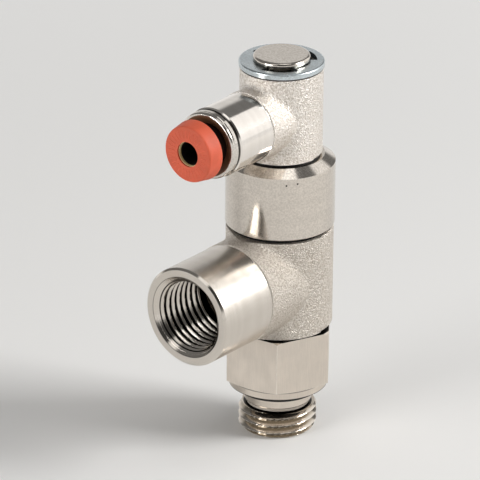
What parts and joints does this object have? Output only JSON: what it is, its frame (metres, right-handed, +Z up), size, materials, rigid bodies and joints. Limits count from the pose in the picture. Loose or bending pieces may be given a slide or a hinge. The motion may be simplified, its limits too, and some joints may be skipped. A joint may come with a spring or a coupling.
{
  "type": "pneumatic shut-off valve",
  "caption": "Pilot-operated shut-off fitting: hexagon stem with male thread, swivelling ring with threaded side port, pilot cylinder and swivelling push-in elbow on top.",
  "frame": {"origin": "centre of the end of the male thread, on the main axis", "axes": "+Z up the main axis from the male thread to the head, both ports point along -Y, +X to the right seen from the ports"},
  "size_m": [0.0194, 0.0336, 0.0674],
  "materials": {
    "nickel_stem": "nickel plate on drawn hexagon bar, satin",
    "nickel_turned": "nickel plate on turned brass, fine lathe rings",
    "nickel_blasted": "nickel plate on blasted brass, fine grain, turned tubes smooth",
    "zinc_steel": "bright zinc plate on steel",
    "spring_steel": "drawn stainless steel",
    "brass_inner": "turned brass, unplated",
    "orange_plastic": "moulded acetal, semi-matte",
    "black_rubber": "moulded rubber, matte"
  },
  "bodies": {
    "stem_unit": {"threaded_stem": "nickel_stem", "thread_seal_ring": "black_rubber", "lower_ring_seal": "black_rubber", "upper_ring_seal": "black_rubber", "top_gap_seal": "black_rubber", "pilot_cylinder": "nickel_turned", "cylinder_seal": "black_rubber", "elbow_lower_seal": "black_rubber", "elbow_upper_seal": "black_rubber", "neck_gap_seal": "black_rubber", "retaining_washer": "zinc_steel", "rod_guide": "brass_inner", "rod_seal": "black_rubber", "spring_retainer": "nickel_turned", "poppet_spring": "spring_steel"},
    "ring_unit": {"port_ring": "nickel_blasted"},
    "elbow_unit": {"pilot_elbow": "nickel_blasted", "tube_seal": "black_rubber", "seal_spacer": "brass_inner", "gripping_ring": "spring_steel", "cartridge_cap": "nickel_turned"},
    "collet_unit": {"release_collet": "orange_plastic", "collet_liner": "brass_inner"},
    "piston_unit": {"pilot_piston": "brass_inner", "piston_seal": "black_rubber"},
    "poppet_unit": {"poppet": "brass_inner", "poppet_seal": "black_rubber"}
  },
  "joints": [
    {"name": "ring_swivel", "type": "hinge", "parent": "stem_unit", "child": "ring_unit", "pos_m": [0, 0, 0.0283], "axis": [0, 0, 1], "continuous": true},
    {"name": "elbow_swivel", "type": "hinge", "parent": "stem_unit", "child": "elbow_unit", "pos_m": [0, 0, 0.0572], "axis": [0, 0, 1], "continuous": true},
    {"name": "collet_press", "type": "slide", "parent": "elbow_unit", "child": "collet_unit", "axis": [0, 1, 0], "range_m": [0, 0.0015]},
    {"name": "pilot_push", "type": "slide", "parent": "stem_unit", "child": "piston_unit", "axis": [0, 0, -1], "range_m": [0, 0.002], "stiffness_N_per_m": 300, "springref_m": -0.004},
    {"name": "poppet_lift", "type": "slide", "parent": "stem_unit", "child": "poppet_unit", "axis": [0, 0, -1], "range_m": [0, 0.002], "deforming": ["poppet_spring"]}
  ],
  "couplings": [
    {"joint": "poppet_lift", "follows": "pilot_push", "ratio": 1}
  ]
}
